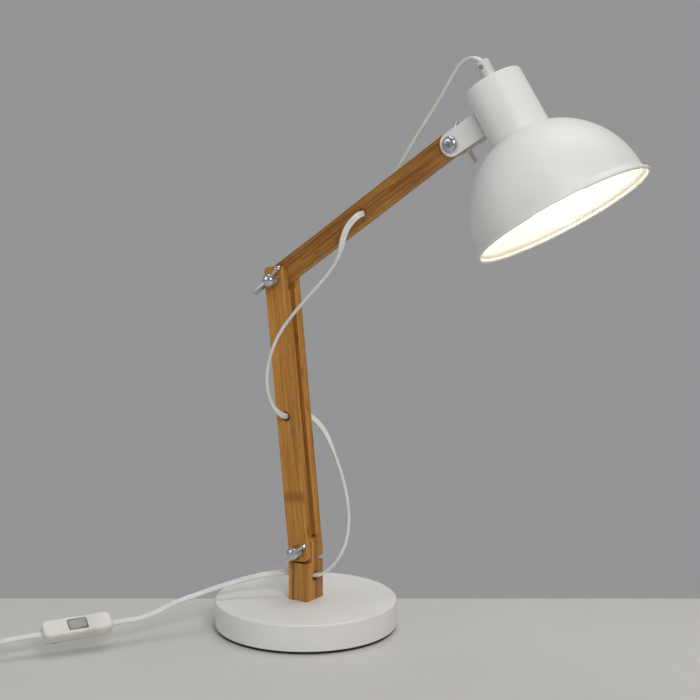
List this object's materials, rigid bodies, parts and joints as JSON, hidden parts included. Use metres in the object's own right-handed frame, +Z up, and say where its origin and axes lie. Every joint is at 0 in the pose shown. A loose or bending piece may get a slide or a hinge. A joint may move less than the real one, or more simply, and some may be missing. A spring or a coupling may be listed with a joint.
{
  "type": "desk lamp",
  "caption": "Desk lamp with a round weighted base, twin-slat bamboo lower arm, bamboo upper arm, domed metal shade and an inline cord switch.",
  "frame": {"origin": "centre of the round base's underside, on the table", "axes": "+Z up; the arms swing in the XZ plane with the shade toward +X; the pivot bolts run along Y"},
  "size_m": [0.6344, 0.3469, 0.5026],
  "materials": {
    "white_metal": "satin white powder coat",
    "bamboo": "clear satin lacquer",
    "chrome": "polished",
    "steel": "plain",
    "iron": "as cast",
    "brass": "plain",
    "pad_rubber": "matte",
    "white_plastic": "smooth",
    "switch_plastic": "smooth",
    "rocker_plastic": "smooth",
    "cord_sheath": "soft",
    "lamp_glass": "opal"
  },
  "bodies": {
    "base": {"base_pad": "pad_rubber", "base_cover": "white_metal", "base_weight": "iron", "post": "bamboo", "post_bolt": "steel", "post_insert": "brass", "post_dowel": "bamboo", "cord_to_switch": "cord_sheath", "switch_upper": "switch_plastic", "switch_lower": "switch_plastic", "switch_screws": "steel", "cord_to_coil": "cord_sheath", "cord_coil": "cord_sheath", "coil_tie": "white_plastic", "plug_sleeve": "white_plastic", "plug_body": "white_plastic", "plug_pins": "steel"},
    "rocker": {"switch_rocker": "rocker_plastic"},
    "lower_arm": {"slat_front": "bamboo", "slat_back": "bamboo", "foot_bolt": "chrome", "elbow_bolt": "chrome", "arm_washers": "chrome", "cord_foot": "cord_sheath"},
    "foot_nut": {"foot_wing_nut": "chrome"},
    "elbow_nut": {"elbow_wing_nut": "chrome"},
    "upper_arm": {"upper_arm": "bamboo", "cord_elbow": "cord_sheath"},
    "head": {"head_bolt": "chrome", "head_washer": "chrome", "head_bracket": "white_metal", "bracket_rivets": "white_metal", "neck_cup": "white_metal", "shade_dome": "white_metal", "lampholder": "white_plastic", "shade_ring": "white_plastic", "bulb_cap": "brass", "bulb_glass": "lamp_glass", "nipple": "steel", "coupling": "steel", "cord_clamp": "white_plastic", "clamp_screw": "steel", "cord_in_neck": "cord_sheath", "cord_head": "cord_sheath"},
    "head_nut": {"head_wing_nut": "chrome"}
  },
  "joints": [
    {"name": "base_tilt", "type": "hinge", "parent": "base", "child": "lower_arm", "pos_m": [0, 0, 0.0704], "axis": [0, 1, 0], "range_deg": [-6.3, 17.7], "deforming": ["cord_foot"]},
    {"name": "elbow_tilt", "type": "hinge", "parent": "lower_arm", "child": "upper_arm", "pos_m": [-0.02377, 0, 0.30852], "axis": [0, -1, 0], "range_deg": [-37.6, 52], "deforming": ["cord_elbow"]},
    {"name": "head_tilt", "type": "hinge", "parent": "upper_arm", "child": "head", "pos_m": [0.14787, 0, 0.43004], "axis": [0, -1, 0], "range_deg": [-50, 60], "deforming": ["cord_head"]},
    {"name": "foot_nut_turn", "type": "hinge", "parent": "lower_arm", "child": "foot_nut", "pos_m": [0, 0, 0.0704], "axis": [0, -1, 0], "continuous": true},
    {"name": "elbow_nut_turn", "type": "hinge", "parent": "lower_arm", "child": "elbow_nut", "pos_m": [-0.02377, 0, 0.30852], "axis": [0, -1, 0], "continuous": true},
    {"name": "head_nut_turn", "type": "hinge", "parent": "head", "child": "head_nut", "pos_m": [0.14787, 0, 0.43004], "axis": [0, 1, 0], "continuous": true},
    {"name": "switch_rocker_tilt", "type": "hinge", "parent": "base", "child": "rocker", "pos_m": [-0.1217, -0.16395, 0.02369], "axis": [-0.6933, 0.4174, 0.5875], "range_deg": [0, 12]}
  ]
}
